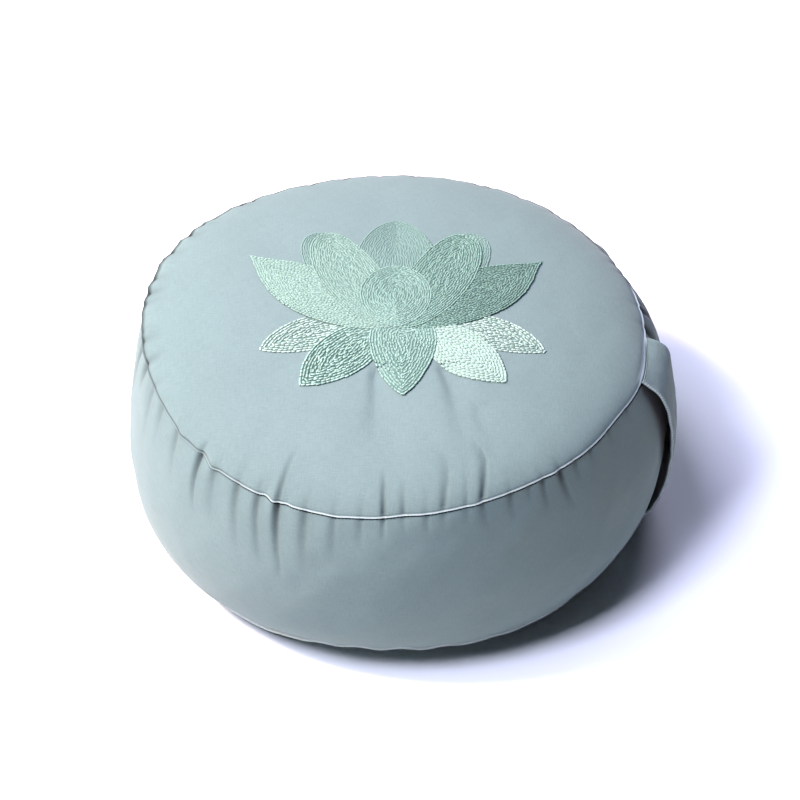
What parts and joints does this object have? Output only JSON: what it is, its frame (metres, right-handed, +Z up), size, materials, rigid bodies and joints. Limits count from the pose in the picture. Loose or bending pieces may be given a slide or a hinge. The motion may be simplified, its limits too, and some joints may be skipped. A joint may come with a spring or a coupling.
{
  "type": "zafu meditation cushion",
  "caption": "Round, firmly filled floor cushion with a domed top, a gathered side band and a carrying strap caught in both seams.",
  "frame": {"origin": "middle of the flat underside, where the cushion rests", "axes": "+Z up, out of the top panel; +X towards the carrying strap"},
  "size_m": [0.3363, 0.333, 0.1551],
  "materials": {
    "cover_cloth": "matt cotton twill, pale grey-green",
    "strap_cloth": "matt cotton twill, doubled and top-stitched",
    "thread": "lustrous embroidery thread in tones of mint"
  },
  "bodies": {
    "root": {"cushion": "cover_cloth", "carry_strap": "strap_cloth"}
  },
  "joints": []
}
